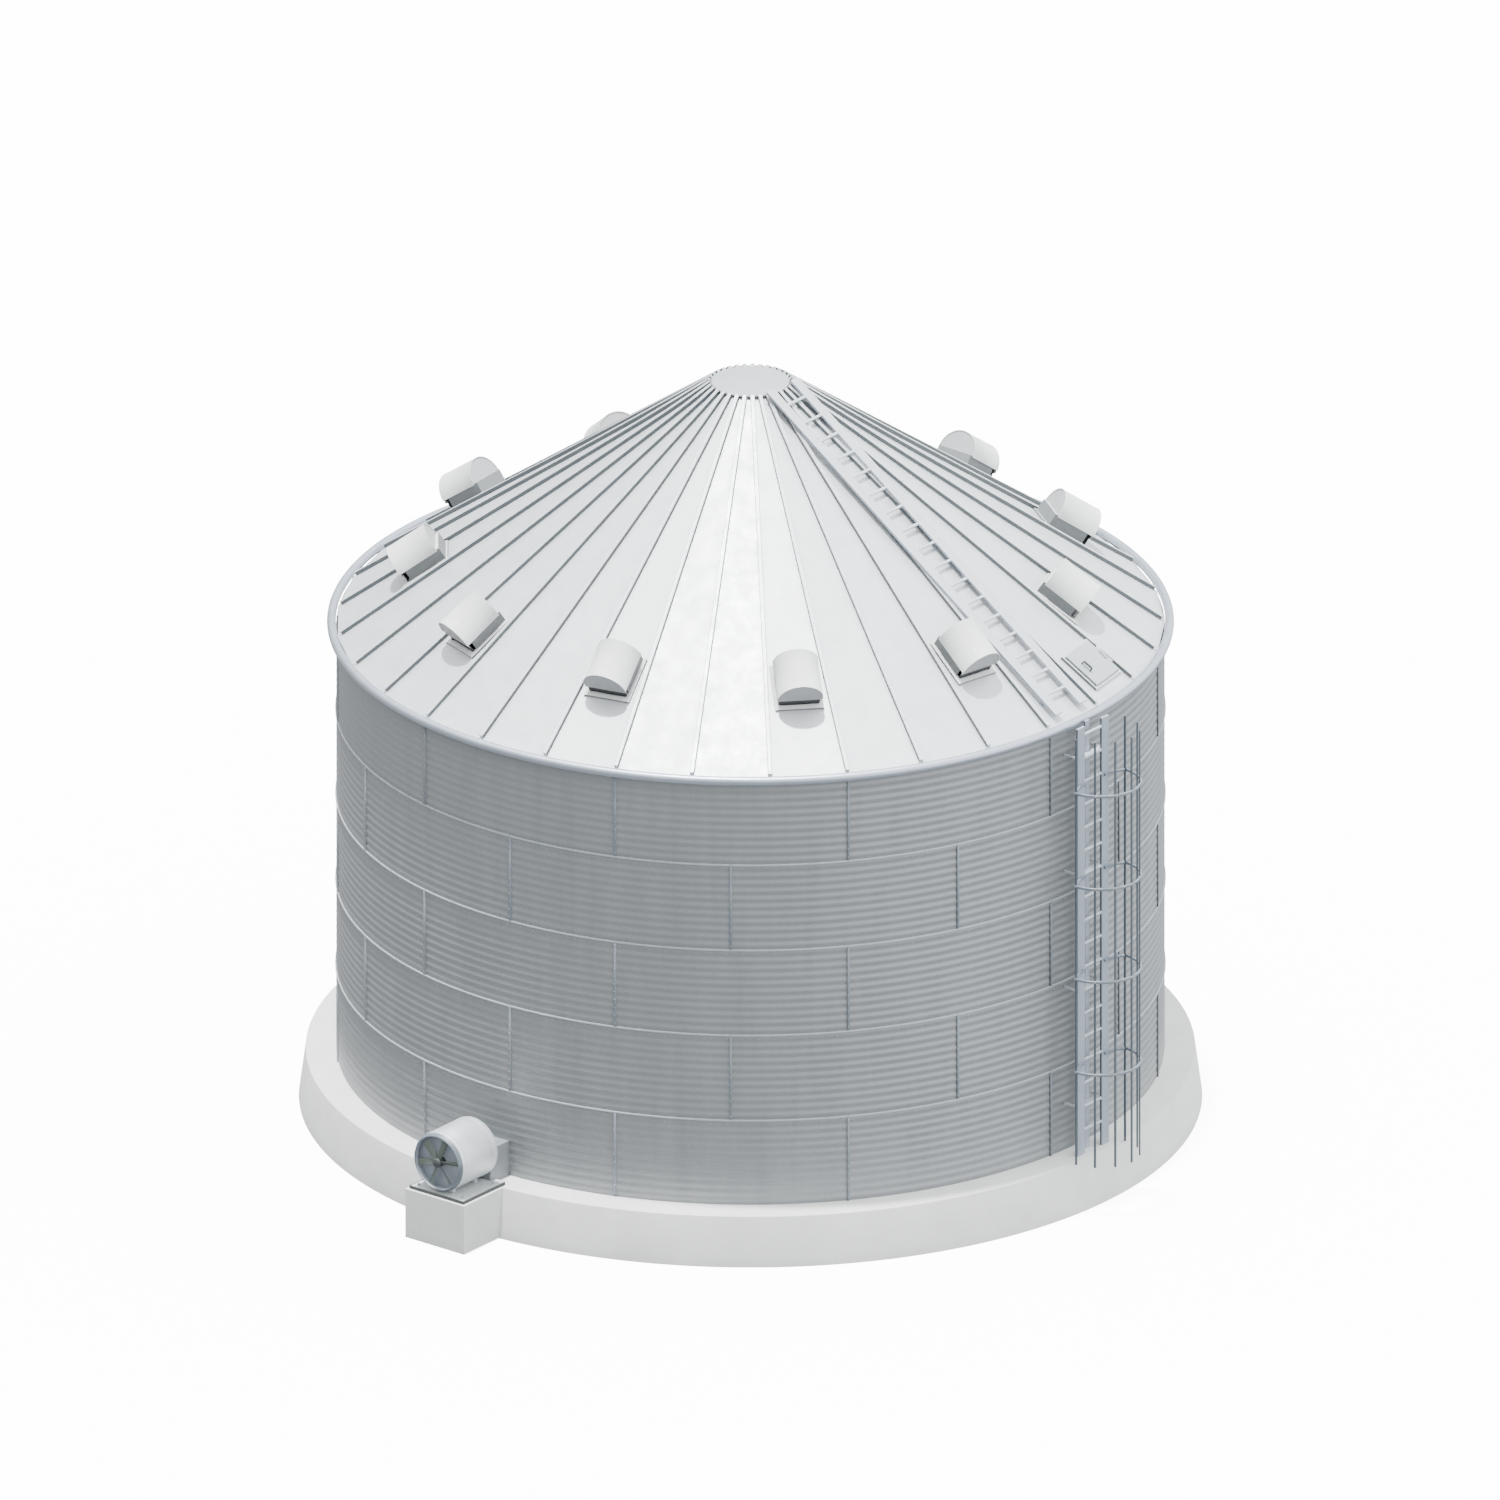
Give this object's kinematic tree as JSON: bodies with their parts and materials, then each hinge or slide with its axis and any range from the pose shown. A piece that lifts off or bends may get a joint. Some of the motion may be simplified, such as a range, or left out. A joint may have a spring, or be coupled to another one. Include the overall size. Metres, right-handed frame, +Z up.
{
  "type": "grain silo",
  "caption": "Corrugated steel grain silo on a round concrete foundation, with a ribbed conical roof, roof vents, a roof hatch, a caged ladder and an aeration fan",
  "frame": {"origin": "middle of the foundation's underside, on the ground", "axes": "+Z up, -Y the side the camera looks at, +X to its right"},
  "size_m": [10.98, 10.9676, 9.4586],
  "materials": {
    "concrete": "cast concrete",
    "galvanised": "galvanised, slightly weathered",
    "roof_sheet": "bright galvanised sheet",
    "painted_steel": "satin pale grey paint",
    "blade_paint": "satin dark green paint"
  },
  "bodies": {
    "bin": {"foundation_pad": "concrete", "fan_plinth": "concrete", "fan_plate": "painted_steel", "fan_housing": "painted_steel", "fan_duct": "painted_steel", "eave_ring": "galvanised", "peak_cap": "roof_sheet", "hatch_curb": "roof_sheet", "roof_ladder": "galvanised", "wall_ladder": "galvanised", "ladder_cage": "galvanised", "wall_ring_1": "galvanised", "wall_ring_2": "galvanised", "wall_ring_3": "galvanised", "wall_ring_4": "galvanised", "wall_ring_5": "galvanised", "roof_segment_01": "roof_sheet", "roof_segment_02": "roof_sheet", "roof_segment_03": "roof_sheet", "roof_segment_04": "roof_sheet", "roof_segment_05": "roof_sheet", "roof_segment_06": "roof_sheet", "roof_segment_07": "roof_sheet", "roof_segment_08": "roof_sheet", "roof_segment_09": "roof_sheet", "roof_segment_10": "roof_sheet", "roof_segment_11": "roof_sheet", "vent_01": "roof_sheet", "vent_02": "roof_sheet", "vent_03": "roof_sheet", "vent_04": "roof_sheet", "vent_05": "roof_sheet", "vent_06": "roof_sheet", "vent_07": "roof_sheet", "vent_08": "roof_sheet", "vent_09": "roof_sheet", "vent_10": "roof_sheet", "vent_11": "roof_sheet"},
    "fan_rotor": {"fan_rotor": "blade_paint"},
    "hatch_lid": {"hatch_lid": "roof_sheet"}
  },
  "joints": [
    {"name": "fan_spin", "type": "hinge", "parent": "bin", "child": "fan_rotor", "pos_m": [-3.79109, -4.74052, 1.075], "axis": [-0.6246, -0.781, 0], "continuous": true},
    {"name": "hatch_hinge", "type": "hinge", "parent": "bin", "child": "hatch_lid", "pos_m": [4.2918, -1.79405, 6.53282], "axis": [-0.7302, 0.3764, 0.5702], "range_deg": [0, 110]}
  ]
}
